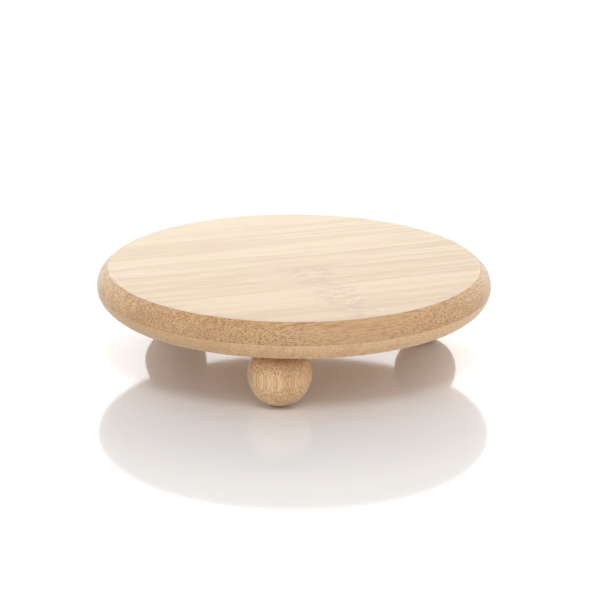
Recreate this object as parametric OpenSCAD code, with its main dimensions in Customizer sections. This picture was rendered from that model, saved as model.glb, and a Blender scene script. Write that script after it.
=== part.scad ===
// Round bamboo lazy susan: a serving board that turns on a slim ball bearing ring, over a
// base board on three turned ball feet. Z is up, and the origin is on the spin axis at the
// level of the surface that the feet stand on. The front foot is towards -Y.

/* [Boards] */
// Diameter of both boards at their widest
board_d = 200; // [190:1:240]
// Thickness of the fixed base board
base_t = 8.6; // [8:0.1:11]
// Thickness of the turning top board
top_t = 10.3; // [9.7:0.1:13]
// Running gap between the two boards
board_gap = 0.1; // [0.1:0.05:1]
// How far the edge of each flat face stands in from the widest part of the boards
edge_in = 6; // [5.5:0.1:7]
// Slope of the edge beside each flat face, in degrees from level
edge_slope = 38; // [35:1:45]
// Chamfer that breaks the two edges along the running gap
gap_break = 0.15; // [0.1:0.05:0.4]

/* [Feet] */
// Diameter of each turned ball foot
foot_d = 32; // [28:0.5:38]
// Depth cut off the top of each ball to make its seat
foot_seat_cut = 2; // [1.5:0.1:3]
// Distance from the spin axis to the centre of each foot
foot_pcr = 75; // [72:0.5:79]
// Diameter of the small flat under each foot
foot_flat_d = 8; // [7:0.5:10]
// Diameter of the non-slip pad under each foot
pad_d = 6; // [4:0.5:6.5]
// Depth that each pad is let into its foot
pad_let_in = 1; // [0.5:0.1:1.5]

/* [Bearing] */
// Outer diameter of the bearing ring that carries the top board
bearing_d = 120; // [116:0.5:122]
// Overall height of the bearing
bearing_h = 8.5; // [8.2:0.1:9]
// Radial width of each aluminium ring
ring_w = 9; // [8.6:0.1:9.4]
// Diameter of each bearing ball
ball_d = 4; // [3.5:0.1:4.2]
// Number of bearing balls
ball_count = 24; // [12:1:36]
// Free space round each ball in its race
race_play = 0.15; // [0.1:0.05:0.2]
// Depth of the channel that the bearing takes up in the base board
base_channel = 4.2; // [4:0.1:4.6]

/* [Fasteners] */
// Number of screws through each bearing ring
ring_screw_count = 4; // [3:1:6]
// Shank diameter of the ring screws
ring_screw_d = 3; // [2.5:0.5:3]
// Shank diameter of the foot screws
foot_screw_d = 4; // [3.5:0.5:4.5]
// Overall length of the foot screws
foot_screw_l = 25; // [20:1:28]
// Diameter of the screwdriver hole in the base board
access_d = 8; // [7:0.5:8.5]

/* [Hidden] */

$fn = 96;
eps = 0.01;             // overrun of a cutter past the face it opens
fit = 0.05;             // clearance round a fixed fastener or plug
play = 0.5;             // clearance between a ring and the walls of its channel

// Heights
base_z = foot_d - foot_seat_cut;
base_top_z = base_z + base_t;
top_z = base_top_z + board_gap;
serving_z = top_z + top_t;
edge_mid_z = (base_z + serving_z) / 2;
edge_half_t = (serving_z - base_z) / 2;
edge_tan = tan(90 - edge_slope);
// Radius of the arc that meets both slopes of the edge without a corner
edge_r = (edge_half_t * edge_tan - edge_in) / (1 / sin(edge_slope) - 1);

// Places of the feet, counted anticlockwise from +X
front = -90;
rear_right = 30;
rear_left = 150;

// Bearing: the inner ring stands on the base board, the outer ring hangs from the top board
ring_step = 1;          // each ring is this much lower than the whole bearing
ring_h = bearing_h - ring_step;
cage_t = 1;             // radial thickness of the ball cage
cage_h = 5.6;
cage_play = 0.3;        // clearance between the cage and each ring
outer_r = bearing_d / 2;
outer_bore_r = outer_r - ring_w;
pitch_r = outer_bore_r - cage_play - cage_t / 2;
inner_r = pitch_r - cage_t / 2 - cage_play;
inner_bore_r = inner_r - ring_w;
channel_floor_z = base_top_z - base_channel;
channel_roof_z = channel_floor_z + bearing_h;
inner_top_z = channel_floor_z + ring_h;
outer_low_z = channel_roof_z - ring_h;
race_z = (channel_floor_z + channel_roof_z) / 2;
race_r = ball_d / 2 + race_play;
ring_edge = 0.4;        // chamfer on the rings' corners

// Ring screws
screw_offset = 0.4;     // the screws sit this much off mid-ring, away from the race
outer_screw_r = (outer_r + outer_bore_r) / 2 + screw_offset;
inner_screw_r = (inner_r + inner_bore_r) / 2 - screw_offset;
outer_screw_start = 90; // one outer screw stands over the screwdriver hole at rest
inner_screw_start = 90 + 180 / ring_screw_count;
pan_d = 5.6;
pan_h = 1.8;
outer_screw_l = 10;     // under the head
inner_screw_l = 8;
inner_sink = 2.6;       // depth of the counterbore in the inner ring
filler_angle = outer_screw_start + 180 / ring_screw_count;
filler_d = 4.4;

// Thread of every wood screw, as shares of its shank diameter and of its length under the head
thread_pitch = 0.45;
thread_core = 0.72;
threaded_share = 0.72;

// Foot screws
foot_head_d = 8;
foot_head_h = 2.4;
foot_head_z = base_top_z - 0.3;  // the heads are sunk just below the base board's upper face

bamboo_top = "#E8CDA6";
bamboo_edge = "#D9B583";
bamboo_foot = "#C89B68";

// ---------- helpers ----------

// Repeats its children n times round the spin axis, at radius r
module round_axis(n, r, start = 0) {
    for (i = [0 : n - 1])
        rotate([0, 0, start + 360 * i / n]) translate([r, 0, 0]) children();
}

// Puts its children under the centre of the foot at the given angle
module at_foot(angle) {
    rotate([0, 0, angle]) translate([foot_pcr, 0, 0]) children();
}

// Disc between two heights whose rim follows the one rounded edge that both boards share
module edge_slab(z0, z1) {
    flat_r = board_d / 2 - edge_in;
    rotate_extrude() intersection() {
        union() {
            translate([board_d / 2 - edge_r, edge_mid_z]) circle(r = edge_r);
            translate([0, z0]) square([board_d / 2 - edge_r, z1 - z0]);
        }
        polygon([
            [0, base_z], [flat_r, base_z], [flat_r + edge_half_t * edge_tan, edge_mid_z],
            [flat_r, serving_z], [0, serving_z]
        ]);
        translate([0, z0]) square([board_d, z1 - z0]);
    }
}

// Radius of the rounded edge at height z
function rim_r(z) = board_d / 2 - edge_r + sqrt(pow(edge_r, 2) - pow(z - edge_mid_z, 2));

// Square-section ring cutter, turned 45 degrees, that chamfers the rim at height z
module rim_chamfer(z) {
    rotate_extrude() translate([rim_r(z), z]) rotate(45) square(gap_break * sqrt(2), center = true);
}

// Ring channel that holds the bearing
module channel(z0, z1) {
    rotate_extrude()
        translate([inner_bore_r - play, z0]) square([outer_r - inner_bore_r + 2 * play, z1 - z0]);
}

// The round track that the balls run in
module race() {
    rotate_extrude() translate([pitch_r, race_z]) circle(r = race_r);
}

// Plain ring of square section with broken corners
module ring(r_in, r_out, z0, h) {
    rotate_extrude() polygon([
        [r_in + ring_edge, z0], [r_out - ring_edge, z0], [r_out, z0 + ring_edge],
        [r_out, z0 + h - ring_edge], [r_out - ring_edge, z0 + h], [r_in + ring_edge, z0 + h],
        [r_in, z0 + h - ring_edge], [r_in, z0 + ring_edge]
    ]);
}

// Cross-shaped driver recess, cut down from z = 0
module cross_recess(size, depth) {
    for (a = [0, 90])
        rotate([0, 0, a]) translate([0, 0, -depth / 2 + eps])
            cube([size, size / 4, depth], center = true);
}

// Radius of a screw's outline at height z above its tip: it tapers over the point, then runs level
function tapered(r, z, point) = r * min(1, max(z, 0.15) / point);

// Zigzag outline of the threaded length, from the tip up: each turn is one ridge
function thread_outline(r, core, z0, pitch, turns, point) = [
    for (i = [0 : turns - 1], side = [0, 1])
        let (up = (i + side / 2) * pitch)
            [tapered(side == 0 ? core : r, up, point), z0 + up]
];

// Wood screw that points down: the top of its head is at z = 0
module wood_screw(shank_d, length, head_d, head_h, countersunk) {
    pitch = shank_d * thread_pitch;
    core = shank_d / 2 * thread_core;
    turns = floor((length - head_h) * threaded_share / pitch);
    thread_top = -length + turns * pitch;
    difference() {
        rotate_extrude() polygon(concat(
            [[0, -length]],
            thread_outline(shank_d / 2, core, -length, pitch, turns, shank_d),
            [[core, thread_top], [core, -head_h]],
            [[countersunk ? core : head_d / 2, -head_h], [head_d / 2, 0], [0, 0]]
        ));
        cross_recess(head_d / 2, head_h * 0.6);
    }
}

// Hole that fits the shank and point of such a screw
module screw_hole(shank_d, length) {
    point = shank_d;
    translate([0, 0, -length + point]) cylinder(d = shank_d + 2 * fit, h = length - point);
    translate([0, 0, -length - fit]) cylinder(d1 = 0.4 + fit, d2 = shank_d + 2 * fit, h = point + fit);
}

// ---------- boards ----------

// Turning board: flat serving face, rounded edge, bearing channel and pilot holes below
module top_board() {
    color(bamboo_top) difference() {
        edge_slab(top_z, serving_z);
        channel(top_z - 1, channel_roof_z);
        rim_chamfer(top_z);
        round_axis(ring_screw_count, outer_screw_r, outer_screw_start)
            translate([0, 0, outer_low_z]) mirror([0, 0, 1])
                screw_hole(ring_screw_d, outer_screw_l + pan_h);
    }
}

// Fixed board: bearing channel above, screw holes for the feet, and the screwdriver hole
module base_board() {
    color(bamboo_edge) difference() {
        edge_slab(base_z, base_top_z);
        channel(channel_floor_z, base_top_z + 1);
        rim_chamfer(base_top_z);
        round_axis(3, foot_pcr, front) {
            translate([0, 0, base_z - 1]) cylinder(d = foot_screw_d + 2 * fit, h = base_t + 2);
            translate([0, 0, foot_head_z - foot_head_h])
                cylinder(d1 = foot_screw_d + 2 * fit, d2 = foot_head_d + 2 * fit, h = foot_head_h);
            translate([0, 0, foot_head_z]) cylinder(d = foot_head_d + 2 * fit, h = 1);
        }
        round_axis(ring_screw_count, inner_screw_r, inner_screw_start)
            translate([0, 0, inner_top_z - inner_sink + pan_h])
                screw_hole(ring_screw_d, inner_screw_l + pan_h);
        rotate([0, 0, outer_screw_start]) translate([outer_screw_r, 0, base_z - 1])
            cylinder(d = access_d + 2 * fit, h = base_t);
    }
}

// Push-in bamboo plug that closes the screwdriver hole flush with the underside
module access_plug() {
    color(bamboo_edge) rotate([0, 0, outer_screw_start]) translate([outer_screw_r, 0, base_z])
        cylinder(d = access_d, h = channel_floor_z - base_z);
}

// ---------- feet ----------

// Height of the small flat under each ball
foot_flat_z = foot_d / 2 - sqrt(pow(foot_d / 2, 2) - pow(foot_flat_d / 2, 2));

// Turned ball with a flat seat on top, a small flat below, a pilot hole and a pad recess
module ball_foot(angle) {
    color(bamboo_foot) at_foot(angle) difference() {
        intersection() {
            translate([0, 0, foot_d / 2]) sphere(d = foot_d);
            translate([-foot_d, -foot_d, foot_flat_z]) cube([2 * foot_d, 2 * foot_d, base_z - foot_flat_z]);
        }
        translate([0, 0, foot_head_z]) screw_hole(foot_screw_d, foot_screw_l);
        cylinder(d = pad_d + 2 * fit, h = foot_flat_z + pad_let_in);
    }
}

// Non-slip pad that the foot stands on
module foot_pad(angle) {
    color("#B9B4AC") at_foot(angle) cylinder(d = pad_d, h = foot_flat_z + pad_let_in);
}

// Countersunk screw that holds a foot, driven down from the channel side of the base board
module foot_screw(angle) {
    color("silver") at_foot(angle) translate([0, 0, foot_head_z])
        wood_screw(foot_screw_d, foot_screw_l, foot_head_d, foot_head_h, true);
}

module foot_front() ball_foot(front);
module foot_rear_left() ball_foot(rear_left);
module foot_rear_right() ball_foot(rear_right);
module foot_pad_front() foot_pad(front);
module foot_pad_rear_left() foot_pad(rear_left);
module foot_pad_rear_right() foot_pad(rear_right);
module foot_screw_front() foot_screw(front);
module foot_screw_rear_left() foot_screw(rear_left);
module foot_screw_rear_right() foot_screw(rear_right);

// ---------- bearing ----------

// Aluminium ring fixed under the top board, with the hole that the balls go in through
module outer_ring() {
    color("#C9CCCF") difference() {
        ring(outer_bore_r, outer_r, outer_low_z, ring_h);
        race();
        round_axis(ring_screw_count, outer_screw_r, outer_screw_start) translate([0, 0, outer_low_z]) {
            translate([0, 0, -1]) cylinder(d = pan_d + 0.4, h = 1 + pan_h);
            cylinder(d = ring_screw_d + 0.4, h = ring_h + 1);
        }
        rotate([0, 0, filler_angle]) translate([pitch_r, 0, race_z]) rotate([0, 90, 0])
            cylinder(d = filler_d + 2 * fit, h = ring_w + 2);
    }
}

// Small plug that closes the outer ring's filling hole and carries on its race
module ball_filler_plug() {
    color("#8F9398") difference() {
        rotate([0, 0, filler_angle]) translate([outer_bore_r + 0.1, 0, race_z]) rotate([0, 90, 0])
            cylinder(d = filler_d, h = ring_w - 0.6);
        race();
    }
}

// Aluminium ring fixed on the base board
module inner_ring() {
    color("#C9CCCF") difference() {
        ring(inner_bore_r, inner_r, channel_floor_z, ring_h);
        race();
        round_axis(ring_screw_count, inner_screw_r, inner_screw_start) {
            translate([0, 0, inner_top_z - inner_sink]) cylinder(d = pan_d + 0.4, h = inner_sink + 1);
            translate([0, 0, channel_floor_z - 1]) cylinder(d = ring_screw_d + 0.4, h = ring_h);
        }
    }
}

// Nylon cage that keeps the balls evenly spaced
module ball_cage() {
    color("#F1EEE6") difference() {
        rotate_extrude() translate([pitch_r - cage_t / 2, race_z - cage_h / 2]) square([cage_t, cage_h]);
        round_axis(ball_count, pitch_r) translate([-cage_t, 0, race_z]) rotate([0, 90, 0])
            cylinder(d = ball_d + 0.2, h = 2 * cage_t);
    }
}

module bearing_balls() {
    color("#D7DADD") round_axis(ball_count, pitch_r) translate([0, 0, race_z]) sphere(d = ball_d);
}

// ---------- ring screws ----------

// Screws driven up through the outer ring into the top board
module outer_ring_screws() {
    color("silver") round_axis(ring_screw_count, outer_screw_r, outer_screw_start)
        translate([0, 0, outer_low_z]) mirror([0, 0, 1])
            wood_screw(ring_screw_d, outer_screw_l + pan_h, pan_d, pan_h, false);
}

// Screws driven down through the inner ring into the base board
module inner_ring_screws() {
    color("silver") round_axis(ring_screw_count, inner_screw_r, inner_screw_start)
        translate([0, 0, inner_top_z - inner_sink + pan_h])
            wood_screw(ring_screw_d, inner_screw_l + pan_h, pan_d, pan_h, false);
}

top_board();
base_board();
foot_front();
foot_rear_left();
foot_rear_right();
foot_pad_front();
foot_pad_rear_left();
foot_pad_rear_right();
foot_screw_front();
foot_screw_rear_left();
foot_screw_rear_right();
outer_ring();
inner_ring();
ball_cage();
bearing_balls();
ball_filler_plug();
outer_ring_screws();
inner_ring_screws();
access_plug();
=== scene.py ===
"""Round bamboo lazy susan on three ball feet, on a glossy white surface in soft daylight.

Everything is in metres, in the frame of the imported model: Z is up, the origin is on the spin
axis where the feet stand, and the front foot is towards -Y.
"""
import math

import bpy
import bmesh
from mathutils import Matrix, Vector


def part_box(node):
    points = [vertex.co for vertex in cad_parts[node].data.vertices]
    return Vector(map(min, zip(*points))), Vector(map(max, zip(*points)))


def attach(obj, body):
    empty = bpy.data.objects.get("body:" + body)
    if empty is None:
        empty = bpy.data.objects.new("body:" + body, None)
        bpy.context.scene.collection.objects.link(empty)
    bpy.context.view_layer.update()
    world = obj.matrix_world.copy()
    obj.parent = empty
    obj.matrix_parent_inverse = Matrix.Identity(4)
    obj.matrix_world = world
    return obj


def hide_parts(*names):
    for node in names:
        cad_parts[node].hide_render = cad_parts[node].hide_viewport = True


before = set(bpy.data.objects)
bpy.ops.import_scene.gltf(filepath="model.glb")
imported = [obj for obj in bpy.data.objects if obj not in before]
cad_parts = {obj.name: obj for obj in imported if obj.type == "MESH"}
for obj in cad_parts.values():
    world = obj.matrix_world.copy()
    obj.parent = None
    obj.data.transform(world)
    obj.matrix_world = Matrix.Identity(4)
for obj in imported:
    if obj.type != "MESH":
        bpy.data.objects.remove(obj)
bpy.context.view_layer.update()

MM = 0.001
FEET = {"front": -90, "rear_left": 150, "rear_right": 30}   # degrees from +X
SHARP = math.radians(35)      # an edge that turns more than this is shaded as a corner

# ---------------------------------------------------------------- sizes, mostly from the frame

top_low, top_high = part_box("top_board")
base_low, base_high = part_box("base_board")
outer_ring_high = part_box("outer_ring")[1]
inner_ring_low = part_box("inner_ring")[0]
foot_low, foot_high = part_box("foot_front")
pad_low, pad_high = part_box("foot_pad_front")
plug_low, plug_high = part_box("access_plug")

BOARD_R = 100 * MM
UNDER_Z = base_low.z
BASE_TOP_Z = base_high.z
TOP_UNDER_Z = top_low.z
SERVING_Z = top_high.z
EDGE_IN = 6 * MM              # how far the flat faces stand in from the widest part
EDGE_SLOPE = 38               # slope of the edge beside each flat face, in degrees from level
ARRIS_R = 1 * MM              # rounding of the sharp edge round each flat face
LIP_BREAK = 0.03 * MM         # broken edges along the running gap

# The channel between the boards that holds the bearing
CHANNEL_PLAY = 0.5 * MM
INNER_RING_BORE_R = 40.4 * MM
CHANNEL_OUT = outer_ring_high.x + CHANNEL_PLAY
CHANNEL_IN = INNER_RING_BORE_R - CHANNEL_PLAY
CHANNEL_ROOF = outer_ring_high.z
CHANNEL_FLOOR = inner_ring_low.z

FOOT_D = 32 * MM
FOOT_PCR = -(foot_low.y + foot_high.y) / 2    # radius of the circle that the feet stand on
FOOT_FLAT_Z = foot_low.z
PAD_R = (pad_high.x - pad_low.x) / 2
PAD_TOP_Z = pad_high.z

# Screws and the plug under one of them
FIT = 0.05 * MM               # clearance round a fixed fastener or plug
OVERRUN = 1 * MM              # of a cutter past the face it opens
PLUG_R = (plug_high.x - plug_low.x) / 2
OUTER_SCREW_R = (plug_low.y + plug_high.y) / 2
INNER_SCREW_R = 44.5 * MM
RING_SCREWS = 4
RING_HOLE_R = 1.5 * MM + FIT
OUTER_SHANK_H = 1.3 * MM      # straight part of an outer ring screw's hole in the top board
OUTER_POINT_H = 3 * MM        # tapered part above it
OUTER_TIP_R = 0.2 * MM
INNER_POINT_H = 3.2 * MM      # tapered hole of an inner ring screw in the base board
INNER_TIP_R = 1.2 * MM
FOOT_HOLE_R = 2 * MM + FIT
FOOT_HEAD_R = 4 * MM + FIT
FOOT_HEAD_H = 2.4 * MM
FOOT_HEAD_Z = BASE_TOP_Z - 0.3 * MM
FOOT_POINT_H = 4 * MM
FOOT_SCREW_TIP_Z = 13.3 * MM


# ---------------------------------------------------------------- mesh building

def mesh_object(name, bm):
    """Turns a bmesh into an object with smooth faces and sharp corners."""
    bmesh.ops.recalc_face_normals(bm, faces=bm.faces)
    mesh = bpy.data.meshes.new(name)
    bm.to_mesh(mesh)
    bm.free()
    mesh.shade_smooth()
    mesh.set_sharp_from_angle(angle=SHARP)
    obj = bpy.data.objects.new(name, mesh)
    bpy.context.scene.collection.objects.link(obj)
    return obj


def lathe(name, outline, centre=(0, 0), segments=192):
    """Revolves an open outline of (radius, z) points, which starts and ends on the axis."""
    bm = bmesh.new()
    turn = [2 * math.pi * i / segments for i in range(segments)]
    rings = []
    for radius, z in outline:
        if radius < 1e-7:
            rings.append([bm.verts.new((centre[0], centre[1], z))])
            continue
        rings.append([
            bm.verts.new((centre[0] + radius * math.cos(a), centre[1] + radius * math.sin(a), z))
            for a in turn
        ])
    for lower, upper in zip(rings, rings[1:]):
        for i in range(segments):
            j = (i + 1) % segments
            corners = [lower[i % len(lower)], lower[j % len(lower)],
                       upper[j % len(upper)], upper[i % len(upper)]]
            unique = list(dict.fromkeys(corners))
            if len(unique) > 2:
                bm.faces.new(unique)
    return mesh_object(name, bm)


def arc(centre, radius, start, end, steps):
    """Points on an arc in the (radius, z) plane, angles in degrees."""
    angles = [math.radians(start + (end - start) * i / steps) for i in range(steps + 1)]
    return [(centre[0] + radius * math.cos(a), centre[1] + radius * math.sin(a)) for a in angles]


def level(r0, r1, z, steps):
    """Points along a level line, so that a wide flat face is cut into rings."""
    return [(r0 + (r1 - r0) * i / steps, z) for i in range(steps + 1)]


def hole(obj, x, y, z0, z1, r0, r1=None):
    """Cuts a straight or tapered round hole into obj."""
    r1 = r0 if r1 is None else r1
    cutter = lathe("cutter", [(0, z0), (r0, z0), (r1, z1), (0, z1)], (x, y), 40)
    cut = obj.modifiers.new("hole", "BOOLEAN")
    cut.operation = "DIFFERENCE"
    cut.solver = "EXACT"
    cut.object = cutter
    with bpy.context.temp_override(object=obj, active_object=obj):
        bpy.ops.object.modifier_apply(modifier=cut.name)
    bpy.data.objects.remove(cutter)


def around(count, radius, start):
    """Points evenly spaced on a circle round the spin axis."""
    for i in range(count):
        angle = math.radians(start + 360 * i / count)
        yield radius * math.cos(angle), radius * math.sin(angle)


def foot_place(side):
    """Centre of a foot, seen from above."""
    angle = math.radians(FEET[side])
    return FOOT_PCR * math.cos(angle), FOOT_PCR * math.sin(angle)


# ---------------------------------------------------------------- the wooden pieces

EDGE_MID_Z = (UNDER_Z + SERVING_Z) / 2
HALF_T = (SERVING_Z - UNDER_Z) / 2
EDGE_TILT = 90 - EDGE_SLOPE
EDGE_TAN = math.tan(math.radians(EDGE_TILT))
EDGE_R = (HALF_T * EDGE_TAN - EDGE_IN) / (1 / math.cos(math.radians(EDGE_TILT)) - 1)
FLAT_R = BOARD_R - EDGE_IN


def rounded_edge(side, gap_z):
    """Outline of a board's edge from its flat face (side 1 is up, -1 down) to the running gap:
    rounded arris, straight slope, then the arc that the two boards share."""
    corner_r = FLAT_R - ARRIS_R * math.tan(math.radians(EDGE_SLOPE / 2))
    corner = arc((corner_r, EDGE_MID_Z + side * (HALF_T - ARRIS_R)), ARRIS_R,
                 side * 90, side * EDGE_TILT, 5)
    lip_z = gap_z + side * LIP_BREAK
    lip = math.degrees(math.asin((lip_z - EDGE_MID_Z) / EDGE_R))
    rim = arc((BOARD_R - EDGE_R, EDGE_MID_Z), EDGE_R, side * EDGE_TILT, lip, 20)
    return corner + rim + [(rim[-1][0] - LIP_BREAK, gap_z)]


def board(name, side, flat_z, gap_z, channel_z):
    """Round board with a rounded edge and the bearing's channel in the face at the gap."""
    edge = rounded_edge(side, gap_z)
    outline = level(0, edge[0][0], flat_z, 12)[:-1] + edge
    outline += level(edge[-1][0], CHANNEL_OUT, gap_z, 4)[1:]
    outline += level(CHANNEL_OUT, CHANNEL_IN, channel_z, 3)
    outline += level(CHANNEL_IN, 0, gap_z, 4)
    return lathe(name, outline)


def top_board():
    """Turning board with its pilot holes, whose straight and tapered cutters overlap a little."""
    made = board("top_board_bamboo", 1, SERVING_Z, TOP_UNDER_Z, CHANNEL_ROOF)
    point_z = CHANNEL_ROOF + OUTER_SHANK_H
    for x, y in around(RING_SCREWS, OUTER_SCREW_R, 90):
        hole(made, x, y, CHANNEL_ROOF - OVERRUN, point_z + 0.1 * MM, RING_HOLE_R)
        hole(made, x, y, point_z, point_z + OUTER_POINT_H, RING_HOLE_R, OUTER_TIP_R)
    return made


def base_board():
    """Fixed board with the feet's countersunk holes, pilot holes and the screwdriver hole."""
    made = board("base_board_bamboo", -1, UNDER_Z, BASE_TOP_Z, CHANNEL_FLOOR)
    for side in FEET:
        x, y = foot_place(side)
        hole(made, x, y, UNDER_Z - OVERRUN, BASE_TOP_Z + OVERRUN, FOOT_HOLE_R)
        hole(made, x, y, FOOT_HEAD_Z - FOOT_HEAD_H, FOOT_HEAD_Z + 0.01 * MM, FOOT_HOLE_R, FOOT_HEAD_R)
        hole(made, x, y, FOOT_HEAD_Z, BASE_TOP_Z + OVERRUN, FOOT_HEAD_R)
    for x, y in around(RING_SCREWS, INNER_SCREW_R, 135):
        hole(made, x, y, CHANNEL_FLOOR - INNER_POINT_H, CHANNEL_FLOOR + OVERRUN,
             INNER_TIP_R, RING_HOLE_R)
    hole(made, 0, OUTER_SCREW_R, UNDER_Z - OVERRUN, CHANNEL_FLOOR + OVERRUN, PLUG_R + FIT)
    return made


def access_plug():
    """Plug flush with the underside, with small rounded arrises."""
    bevel = 0.4 * MM
    outline = [(0, plug_low.z), (PLUG_R - bevel, plug_low.z)]
    outline += arc((PLUG_R - bevel, plug_low.z + bevel), bevel, -90, 0, 5)[1:]
    outline += arc((PLUG_R - bevel, plug_high.z - bevel), bevel, 0, 90, 5)
    outline += [(0, plug_high.z)]
    return lathe("access_plug_bamboo", outline, (0, OUTER_SCREW_R), 64)


def ball_foot(side):
    """Turned ball with a flat seat, a flat with the pad's recess below, and the screw's hole."""
    ball_r = FOOT_D / 2
    seat_turn = math.degrees(math.asin((UNDER_Z - ball_r) / ball_r))
    flat_turn = math.degrees(math.asin((FOOT_FLAT_Z - ball_r) / ball_r))
    outline = [(0, PAD_TOP_Z), (PAD_R + FIT, PAD_TOP_Z), (PAD_R + FIT, FOOT_FLAT_Z)]
    outline += arc((0, ball_r), ball_r, flat_turn, seat_turn, 60)
    outline += [(FOOT_HOLE_R, UNDER_Z), (FOOT_HOLE_R, FOOT_SCREW_TIP_Z + FOOT_POINT_H)]
    outline += [(0, FOOT_SCREW_TIP_Z)]
    return lathe("ball_foot_" + side, outline, foot_place(side), 128)


def foot_pad(side):
    """Soft pad with a rounded tread edge and a shallow cup that grips the table."""
    round_r = 0.25 * MM
    cup_r, cup_z = 1.8 * MM, 0.12 * MM
    outline = [(0, cup_z), (cup_r * 0.6, cup_z * 0.8), (cup_r, 0), (PAD_R - round_r, 0)]
    outline += arc((PAD_R - round_r, round_r), round_r, -90, 0, 5)[1:]
    outline += [(PAD_R, PAD_TOP_Z), (0, PAD_TOP_Z)]
    return lathe("silicone_pad_" + side, outline, foot_place(side), 64)


# ---------------------------------------------------------------- materials

class Graph:
    """The node tree of a material or world, and a few short ways to add nodes to it."""

    def __init__(self, owner, shader):
        owner.use_nodes = True
        self.owner = owner
        self.nodes = owner.node_tree.nodes
        self.links = owner.node_tree.links
        self.shader = self.nodes[shader]

    def put(self, socket, value):
        """Links the socket if value comes out of another node, else sets it."""
        if isinstance(value, bpy.types.NodeSocket):
            self.links.new(value, socket)
        else:
            socket.default_value = value

    def add(self, kind, settings=None, **inputs):
        """A new node with its own settings, and with inputs given by name."""
        made = self.nodes.new(kind)
        for key, value in (settings or {}).items():
            setattr(made, key, value)
        for key, value in inputs.items():
            self.put(made.inputs[key], value)
        return made

    def fed(self, kind, values, settings=None):
        """A new node whose first inputs are given in order."""
        made = self.add(kind, settings)
        for socket, value in zip(made.inputs, values):
            self.put(socket, value)
        return made

    def math(self, operation, *values):
        return self.fed("ShaderNodeMath", values, {"operation": operation}).outputs[0]

    def plus(self, first, second):
        return self.math("ADD", first, second)

    def minus(self, first, second):
        return self.math("SUBTRACT", first, second)

    def times(self, first, second):
        return self.math("MULTIPLY", first, second)

    def over(self, first, second):
        return self.math("DIVIDE", first, second)

    def absolute(self, value):
        return self.math("ABSOLUTE", value)

    def vector(self, operation, *values):
        made = self.fed("ShaderNodeVectorMath", values, {"operation": operation})
        return made.outputs["Value" if operation in ("DOT_PRODUCT", "LENGTH") else "Vector"]

    def scaled(self, vector, factor):
        made = self.add("ShaderNodeVectorMath", {"operation": "SCALE"}, Scale=factor)
        self.put(made.inputs[0], vector)
        return made.outputs["Vector"]

    def point(self, x, y, z):
        return self.fed("ShaderNodeCombineXYZ", (x, y, z)).outputs[0]

    def split(self, vector):
        return self.fed("ShaderNodeSeparateXYZ", (vector,)).outputs[:3]

    def noise(self, where, scale=1.0, detail=2.0, roughness=0.5):
        made = self.add("ShaderNodeTexNoise", Vector=where, Scale=scale, Detail=detail,
                        Roughness=roughness)
        return made.outputs[0]

    def ramp(self, value, low, high, to_low=0.0, to_high=1.0):
        """Smooth step from to_low to to_high as value goes from low to high."""
        made = self.fed("ShaderNodeMapRange", (value, low, high, to_low, to_high),
                        {"interpolation_type": "SMOOTHSTEP"})
        return made.outputs[0]

    def mix(self, share, first, second, blend_type="MIX"):
        made = self.add("ShaderNodeMix", {"data_type": "RGBA", "blend_type": blend_type})
        share_in, first_in, second_in = made.inputs[0], made.inputs[6], made.inputs[7]
        self.put(share_in, share)
        self.put(first_in, first)
        self.put(second_in, second)
        return made.outputs[2]

    def bump(self, height, strength, distance):
        made = self.add("ShaderNodeBump", Strength=strength, Distance=distance, Height=height)
        return made.outputs[0]

    def shade(self, inputs):
        """Gives the shader its inputs by name."""
        for key, value in inputs.items():
            self.put(self.shader.inputs[key], value)


def material(name):
    return Graph(bpy.data.materials.new(name), "Principled BSDF")


def linear(red, green, blue):
    """Linear RGBA from 0 to 255 screen values."""
    def one(c):
        c /= 255
        return c / 12.92 if c <= 0.04045 else ((c + 0.055) / 1.055) ** 2.4
    return (one(red), one(green), one(blue), 1.0)


def blend(first, second, share):
    """Colour that is share of the way from first to second."""
    return tuple(a + (b - a) * share for a, b in zip(first, second))


WHITE = (1.0, 1.0, 1.0, 1.0)
BLACK = (0.0, 0.0, 0.0, 1.0)
NODE_SHADE = linear(203, 168, 146)
SCORCH = linear(186, 124, 74)
PINKISH = (1.0, 0.955, 0.945, 1.0)
YELLOWISH = (0.995, 0.99, 0.925, 1.0)


def pale_marks_and_highlight(pale):
    """Colour of the palest lines and flecks of a pale face, and of the painted highlight along its
    arris.
    """
    return blend(pale, WHITE, 0.35)


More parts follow.
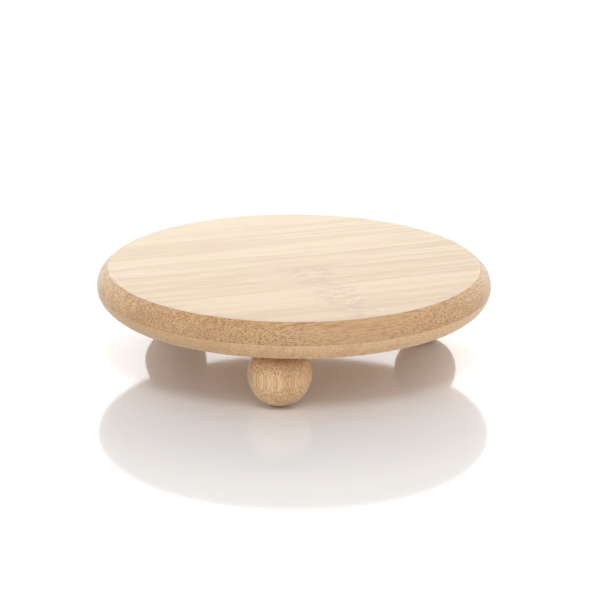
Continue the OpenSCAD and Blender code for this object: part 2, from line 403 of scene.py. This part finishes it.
class Bamboo(Graph):
    """Solid bamboo, with lengths in mm. Fibre bundles run along one direction, so that a surface
    cut along them shows streaks and one cut across them shows dots."""

    def __init__(self, name, along, across, strip_w, shift):
        """along and across are unit directions. Strips strip_w wide are glued side by side."""
        super().__init__(bpy.data.materials.new(name), "Principled BSDF")
        coords = self.add("ShaderNodeTexCoord")
        here = self.scaled(coords.outputs["Object"], 1 / MM)
        normal = coords.outputs["Normal"]
        ways = (tuple(along), tuple(across), tuple(Vector(along).cross(Vector(across))))
        self.u, self.v, self.w = [self.vector("DOT_PRODUCT", here, way) for way in ways]
        strip = self.math("FLOOR", self.over(self.plus(self.v, shift), strip_w))
        self.own = self.times(strip, 37.7)      # moves each strip to its own part of the grain
        self.end_on = self.ramp(self.absolute(self.vector("DOT_PRODUCT", normal, ways[0])), 0.0, 0.65)
        self.upward = self.absolute(self.split(normal)[2])

    def grain_noise(self, length, width, height, start, detail, roughness=0.5, rise=None):
        """Noise stretched along the grain. start takes it from another part of the pattern."""
        rise = self.w if rise is None else rise
        where = self.point(
            self.plus(self.over(self.u, length), self.plus(self.own, start)),
            self.over(self.v, width), self.over(rise, height))
        return self.noise(where, detail=detail, roughness=roughness)

    def centred(self, value, size):
        return self.times(self.minus(value, 0.5), size)

    def culm_node(self, place, near, far):
        """How much each point belongs to a culm node, 0 to 1. The node stands at place along the
        grain, and runs from near to far across it."""
        off = self.absolute(self.minus(self.u, place))
        inside = self.times(self.ramp(self.v, near, near + 24.0),
                            self.ramp(self.v, far - 12.0, far, 1.0, 0.0))
        return self.times(self.ramp(off, 2.0, 22.0, 1.0, 0.0), inside)

    def stray(self, wander, swell):
        """Bends the grain a little sideways and up and down, and more so where a node swells."""
        sideways = self.centred(self.grain_noise(80, 24, 24, 0.0, 1.0), 3.6 * wander)
        upwards = self.centred(self.grain_noise(34, 7, 20, 7.0, 1.0), 3.2 * wander)
        bent = self.plus(self.v, sideways)
        if swell is not None:
            crook = self.centred(self.grain_noise(11, 8, 9, 5.0, 2.0, 0.6), 9.0)
            bent = self.plus(bent, self.times(crook, swell))
        self.v = bent
        self.w = self.plus(self.w, upwards)

    def bundles(self, spacing, streak):
        """Dots of the fibre bundles, fainter where the streak is pale."""
        where = self.point(self.over(self.v, spacing * 1.1), self.over(self.w, spacing), 0.0)
        cells = self.add("ShaderNodeTexVoronoi", {"voronoi_dimensions": "2D"},
                         Vector=where, Scale=1.0, Randomness=0.8)
        dots = self.ramp(cells.outputs["Distance"], 0.14, 0.42, 1.0, 0.0)
        return self.times(dots, self.ramp(streak, 0.32, 0.6, 0.5, 1.0))

    def flat_face(self, pale, dark, tone, fine, dots, dot_colour):
        """Pale, with wide soft bands, fine light and dark lines and faint bundles."""
        colour = self.mix(tone, pale, dark)
        colour = self.mix(self.times(self.ramp(fine, 0.55, 0.7), 0.5), colour, pale_marks_and_highlight(pale))
        colour = self.mix(self.times(self.ramp(fine, 0.44, 0.28), 0.35), colour, dark)
        return self.mix(self.times(dots, 0.1), colour, dot_colour)

    def turned_face(self, light, deep, tone, fine, dots, contrast, side_on):
        """Darker and warmer, with the bundles plain to see, most of all where they end."""
        colour = self.mix(tone, light, blend(light, deep, 0.25))
        colour = self.mix(self.times(self.ramp(fine, 0.5, 0.7), 0.2), colour, deep)
        depth = self.ramp(self.end_on, 0.0, 1.0, side_on * contrast, contrast)
        return self.mix(self.times(dots, depth), colour, deep)

    def mottled(self, colour, swell, rise, pale):
        """Dark and light flecks where a culm node crosses the face."""
        mottle = self.grain_noise(8, 3.4, 5, 6.0, 3.0, 0.65, rise)
        flecks = ((0.44, 0.64, 0.7, NODE_SHADE), (0.42, 0.3, 0.35, pale_marks_and_highlight(pale)))
        for start, end, most, fleck in flecks:
            share = self.times(swell, self.ramp(mottle, start, end, 0.0, most))
            colour = self.mix(share, colour, fleck)
        return colour

    def board_faces(self, flat, cut, pale):
        """Flat faces and turned edge of a board, with browned streaks that the cutter has left on
        the slope between them, and a painted highlight along the arris."""
        # upward is 1 on a flat face and 0.79 on the slope, and falls to 0 at the widest part
        slope = self.times(self.ramp(self.upward, 0.4, 0.76),
                           self.ramp(self.upward, 0.8, 0.84, 1.0, 0.0))
        scorch = self.ramp(self.grain_noise(30, 2.6, 1.6, 8.0, 3.0, 0.6), 0.48, 0.68, 0.0, 0.5)
        cut = self.mix(self.times(slope, scorch), cut, SCORCH)
        colour = self.mix(self.ramp(self.upward, 0.82, 0.9, 1.0, 0.0), flat, cut)
        # Painted highlight: a thin pale line along the rounded arris round each flat face
        arris_highlight = self.times(self.ramp(self.upward, 0.82, 0.9),
                           self.ramp(self.upward, 0.96, 0.999, 1.0, 0.0))
        return self.mix(self.times(arris_highlight, 0.6), colour, pale_marks_and_highlight(pale))

    def oiled(self, colour, streak, fine, dots):
        """Satin oiled surface, whose colour leans towards pink or towards yellow in patches."""
        hue = self.ramp(self.grain_noise(26, 8, 8, 9.0, 2.0, 0.55), 0.38, 0.62)
        colour = self.mix(1.0, colour, self.mix(hue, PINKISH, YELLOWISH), "MULTIPLY")
        rough = self.plus(self.times(streak, 0.16), 0.42)
        relief = self.minus(self.times(fine, 0.5), self.times(dots, 0.6))
        self.shade({
            "Base Color": colour,
            "Roughness": self.plus(rough, self.times(dots, 0.06)),
            "Specular IOR Level": 0.3,
            "Sheen Weight": 0.62,
            "Sheen Roughness": 0.3,
            "Sheen Tint": (0.82, 0.94, 1.0, 1.0),
            "Normal": self.bump(relief, 0.25, 0.06 * MM),
        })
        return self.owner


def bamboo(name, along, across, rim, strip_w, shift, bundle, contrast, side_on=0.42, wander=1.0,
           drift=0.0, face=None, node_at=None):
    """Bamboo for a board, or for a ball foot if it has no face. along and across are the unit
    directions of the grain. rim and face hold the light and dark colours of turned surfaces and
    of flat faces. strip_w is the width in mm of the strips that the wood is glued from, and shift
    moves their joints. bundle is the spacing of the fibre bundles in mm, and contrast is their
    strength, of which side_on is left where they are seen from the side. wander scales how far
    the grain strays from straight, and drift is how much darker the tone gets in 100 mm across
    the grain. node_at = (place along the grain, near end, far end across it), in mm, puts one
    culm node across part of the board."""
    g = Bamboo(name, along, across, strip_w, shift)
    swell = g.culm_node(*node_at) if node_at else None
    darker = g.times(g.v, drift / 100)
    straight_rise = g.w
    g.stray(wander, swell)

    fine = g.grain_noise(42, 0.55, 0.55, 1.0, 2.0)
    streak = g.grain_noise(120, 2.4, 2.4, 2.0, 3.0, 0.62)
    band = g.grain_noise(240, 11.0, 9.0, 3.0, 2.0)
    tone = g.plus(g.times(streak, 0.45), g.times(band, 0.55))
    tone = g.plus(g.ramp(tone, 0.36, 0.64), darker)
    dots = g.bundles(bundle, streak)

    light, deep = rim
    colour = g.turned_face(light, deep, tone, fine, dots, contrast, side_on)
    if face is None:
        # Painted shade: the top of each ball is darkened towards its seat, where the board above
        # shades it
        colour = g.mix(g.ramp(g.u, 23.0, 28.5, 0.0, 0.5), colour, deep)
    else:
        pale, dark = face
        flat = g.flat_face(pale, dark, tone, fine, dots, light)
        if node_at:
            flat = g.mottled(flat, swell, straight_rise, pale)
        colour = g.board_faces(flat, colour, pale)
    return g.oiled(colour, streak, fine, dots)


def grain(angle):
    """Unit directions along and across grain that lies level, turned by angle from +X."""
    a = math.radians(angle)
    return (math.cos(a), math.sin(a), 0.0), (-math.sin(a), math.cos(a), 0.0)


def metal(name, colour, roughness, scratch, turned=False):
    """Bare metal with fine machining marks: rings round the axis if turned, else random."""
    g = material(name)
    coords = g.add("ShaderNodeTexCoord")
    if turned:
        radius = g.vector("LENGTH", g.vector("MULTIPLY", coords.outputs["Object"], (1.0, 1.0, 0.0)))
        height = g.split(coords.outputs["Object"])[2]
        where = g.point(g.times(radius, scratch), g.times(height, scratch), 0.0)
    else:
        where = g.scaled(coords.outputs["Object"], scratch)
    marks = g.noise(where, detail=3.0, roughness=0.6)
    cloud = g.noise(coords.outputs["Object"], scale=70.0, detail=2.0)
    g.shade({
        "Base Color": g.mix(g.ramp(cloud, 0.3, 0.7), colour, blend(colour, BLACK, 0.2)),
        "Metallic": 1.0,
        "Roughness": g.ramp(marks, 0.25, 0.75, roughness * 0.7, roughness * 1.4),
        "Normal": g.bump(marks, 0.3, 0.03 * MM),
    })
    return g.owner


def soft_plastic(name, colour, roughness, scatter):
    """Moulded nylon or silicone with a fine skin and slight colour clouding."""
    g = material(name)
    coords = g.add("ShaderNodeTexCoord")
    skin = g.noise(coords.outputs["Object"], scale=2500.0, detail=2.0)
    cloud = g.noise(coords.outputs["Object"], scale=160.0, detail=2.0)
    g.shade({
        "Base Color": g.mix(g.ramp(cloud, 0.3, 0.7), colour, blend(colour, BLACK, 0.18)),
        "Roughness": g.ramp(skin, 0.3, 0.7, roughness * 0.85, roughness * 1.15),
        "Subsurface Weight": scatter,
        "Subsurface Radius": (1 * MM, 1 * MM, 1 * MM),
        "Normal": g.bump(skin, 0.2, 0.03 * MM),
    })
    return g.owner


# ---------------------------------------------------------------- put the pieces together

def dress(obj, finish):
    """Gives an object one material and no other."""
    obj.data.materials.clear()
    obj.data.materials.append(finish)


def place(obj, finish, body, slot, node):
    """Gives a new piece its material, attaches it to its body and hides the CAD node that it stands
    for.
    """
    dress(obj, finish)
    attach(obj, body)
    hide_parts(node)


TOP_ALONG, TOP_ACROSS = grain(25)
BASE_ALONG, BASE_ACROSS = grain(88)

top_wood = bamboo(
    "bamboo_top", TOP_ALONG, TOP_ACROSS,
    face=(linear(231, 210, 179), linear(212, 183, 149)),
    rim=(linear(236, 199, 153), linear(142, 90, 58)),
    strip_w=66.0, shift=74.0, bundle=0.78, contrast=0.85, drift=-0.8,
    node_at=(5.0, -112.0, 4.0))
base_wood = bamboo(
    "bamboo_base", BASE_ALONG, BASE_ACROSS,
    face=(linear(224, 182, 136), linear(206, 160, 114)),
    rim=(linear(242, 206, 164), linear(174, 128, 84)),
    strip_w=48.0, shift=31.0, bundle=0.8, contrast=0.5, side_on=0.32, drift=0.9)
foot_wood = bamboo(
    "bamboo_feet", (0.0, 0.0, 1.0), (1.0, 0.0, 0.0),
    rim=(linear(254, 218, 173), linear(142, 78, 42)),
    strip_w=60.0, shift=20.0, bundle=0.7, contrast=0.72, side_on=0.6, wander=0.2)
silicone = soft_plastic("silicone", linear(196, 190, 180), roughness=0.45, scatter=0.3)

place(top_board(), top_wood, "turntable", "bamboo_top", "top_board")
place(base_board(), base_wood, "base", "bamboo_base", "base_board")
place(access_plug(), base_wood, "base", "bamboo_base", "access_plug")
for side in FEET:
    place(ball_foot(side), foot_wood, "base", "bamboo_feet", "foot_" + side)
    place(foot_pad(side), silicone, "base", "pad_rubber", "foot_pad_" + side)

zinc = metal("zinc_steel", linear(196, 196, 190), roughness=0.32, scratch=1800.0)
polished = metal("bearing_steel", linear(214, 214, 218), roughness=0.10, scratch=900.0)
turned = metal("turned_aluminium", linear(208, 210, 214), roughness=0.28, scratch=4000.0, turned=True)
nylon = soft_plastic("nylon", linear(232, 226, 210), roughness=0.5, scatter=0.2)

FINISHES = {
    "foot_screw_front": zinc, "foot_screw_rear_left": zinc, "foot_screw_rear_right": zinc,
    "outer_ring_screws": zinc, "inner_ring_screws": zinc, "ball_filler_plug": zinc,
    "outer_ring": turned, "inner_ring": turned, "bearing_balls": polished, "ball_cage": nylon,
}
for node, finish in FINISHES.items():
    dress(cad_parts[node], finish)


# ---------------------------------------------------------------- stage, light and camera

def floor():
    """Glossy white table top, seen from above only, so that the underside can be looked at."""
    half = 4.0
    bm = bmesh.new()
    bm.faces.new([bm.verts.new((x, y, 0.0)) for x, y in
                  ((-half, -half), (half, -half), (half, half), (-half, half))])
    obj = mesh_object("floor", bm)
    g = material("glossy_white")
    g.shade({"Base Color": (0.9, 0.9, 0.9, 1.0), "Roughness": 0.08, "IOR": 1.5})
    facing = g.add("ShaderNodeNewGeometry")
    clear = g.add("ShaderNodeBsdfTransparent")
    choose = g.add("ShaderNodeMixShader")
    g.links.new(facing.outputs["Backfacing"], choose.inputs[0])
    g.links.new(g.shader.outputs[0], choose.inputs[1])
    g.links.new(clear.outputs[0], choose.inputs[2])
    g.links.new(choose.outputs[0], g.nodes["Material Output"].inputs["Surface"])
    dress(obj, g.owner)


def daylight(strength, backdrop):
    """White surroundings, with a brighter backdrop low down behind the board, towards +Y."""
    g = Graph(bpy.data.worlds.new("white_studio"), "Background")
    bpy.context.scene.world = g.owner
    _, towards_y, towards_z = g.split(g.add("ShaderNodeTexCoord").outputs["Generated"])
    behind = g.ramp(towards_y, 0.1, 0.8, 0.0, backdrop)
    low_down = g.ramp(towards_z, 0.35, 0.75, 1.0, 0.0)
    g.shade({"Color": WHITE, "Strength": g.plus(g.times(behind, low_down), strength)})


def softbox(name, azimuth, elevation, distance, size, power):
    """Square soft light aimed at the board; azimuth 0 is in front, towards -Y."""
    light = bpy.data.lights.new(name, "AREA")
    light.shape = "SQUARE"
    light.size = size
    light.energy = power
    obj = bpy.data.objects.new(name, light)
    bpy.context.scene.collection.objects.link(obj)
    a, e = math.radians(azimuth), math.radians(elevation)
    away = Vector((math.sin(a) * math.cos(e), -math.cos(a) * math.cos(e), math.sin(e)))
    obj.location = away * distance
    obj.rotation_euler = away.to_track_quat("Z", "Y").to_euler()


def camera():
    """Long lens, 17 degrees above the table, turned so that the front foot is left of middle."""
    pitch, roll, azimuth = math.radians(17.35), math.radians(0.31), math.radians(5.1)
    data = bpy.data.cameras.new("camera")
    data.sensor_width = 36.0
    data.lens = 254.1
    data.clip_end = 50.0
    obj = bpy.data.objects.new("camera", data)
    bpy.context.scene.collection.objects.link(obj)
    turn = Matrix.Rotation(azimuth, 4, "Z")
    stand = turn @ Vector((3.1 * MM, -2053.6 * MM, 672.3 * MM))
    look = turn @ Matrix.Rotation(math.pi / 2 - pitch, 4, "X") @ Matrix.Rotation(roll, 4, "Z")
    obj.matrix_world = Matrix.Translation(stand) @ look
    bpy.context.scene.camera = obj


floor()
daylight(strength=0.607, backdrop=2.2)
softbox("key", azimuth=8, elevation=58, distance=3.2, size=1.0, power=22.0)
softbox("fill", azimuth=8, elevation=40, distance=3.2, size=1.6, power=7.2)
camera()
bpy.context.scene.view_settings.view_transform = "Standard"
